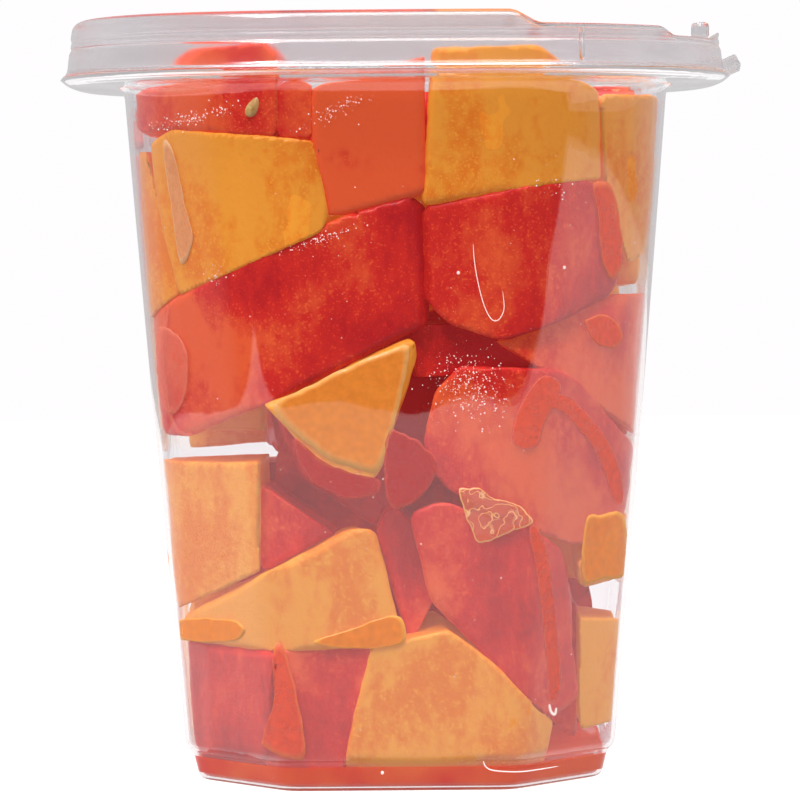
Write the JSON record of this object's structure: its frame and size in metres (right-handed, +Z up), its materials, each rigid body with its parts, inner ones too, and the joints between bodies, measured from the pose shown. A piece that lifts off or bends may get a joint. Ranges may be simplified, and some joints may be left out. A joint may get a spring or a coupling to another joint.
{
  "type": "fruit cup",
  "caption": "Clear square-footed take-away cup of knife-cut watermelon and cantaloupe with a little juice, shut by a shallow clear lid with a hinge strip and lock button.",
  "frame": {"origin": "middle of the flat foot, on the surface it stands on", "axes": "+Z up along the cup, +X towards the hinge strip, -Y towards the front"},
  "size_m": [0.118, 0.1172, 0.1318],
  "materials": {
    "clear_plastic": "thin clear moulded plastic, glossy",
    "watermelon": "wet translucent red fruit flesh",
    "cantaloupe": "wet translucent orange fruit flesh",
    "juice": "clear red-orange juice",
    "membrane": "thin torn translucent membrane"
  },
  "bodies": {
    "root": {"cantaloupe_back_12": "cantaloupe", "cantaloupe_back_23": "cantaloupe", "cantaloupe_back_31": "cantaloupe", "cantaloupe_back_33": "cantaloupe", "cantaloupe_back_41": "cantaloupe", "cantaloupe_back_52": "cantaloupe", "cantaloupe_core_4": "cantaloupe", "cantaloupe_foot": "cantaloupe", "cantaloupe_foot_right": "cantaloupe", "cantaloupe_left": "cantaloupe", "cantaloupe_left_lower": "cantaloupe", "cantaloupe_left_sliver": "cantaloupe", "cantaloupe_right_low": "cantaloupe", "cantaloupe_right_upper": "cantaloupe", "cantaloupe_side_12": "cantaloupe", "cantaloupe_side_21": "cantaloupe", "cantaloupe_side_32": "cantaloupe", "cantaloupe_side_41": "cantaloupe", "cantaloupe_top_left": "cantaloupe", "cantaloupe_top_right": "cantaloupe", "cantaloupe_wedge": "cantaloupe", "cup": "clear_plastic", "hinge_strip": "clear_plastic", "juice": "juice", "lid": "clear_plastic", "lock_button": "clear_plastic", "membrane_flake": "membrane", "watermelon_back_11": "watermelon", "watermelon_back_13": "watermelon", "watermelon_back_21": "watermelon", "watermelon_back_22": "watermelon", "watermelon_back_32": "watermelon", "watermelon_back_42": "watermelon", "watermelon_back_43": "watermelon", "watermelon_back_51": "watermelon", "watermelon_back_53": "watermelon", "watermelon_centre_low": "watermelon", "watermelon_core_1": "watermelon", "watermelon_core_2": "watermelon", "watermelon_core_3": "watermelon", "watermelon_core_5": "watermelon", "watermelon_foot": "watermelon", "watermelon_foot_left": "watermelon", "watermelon_heart": "watermelon", "watermelon_heart_low": "watermelon", "watermelon_left_low": "watermelon", "watermelon_long": "watermelon", "watermelon_middle": "watermelon", "watermelon_right": "watermelon", "watermelon_right_lower": "watermelon", "watermelon_right_middle": "watermelon", "watermelon_right_upper": "watermelon", "watermelon_side_11": "watermelon", "watermelon_side_22": "watermelon", "watermelon_side_31": "watermelon", "watermelon_side_42": "watermelon", "watermelon_top": "watermelon", "watermelon_top_left": "watermelon", "watermelon_top_middle": "watermelon"}
  },
  "joints": []
}
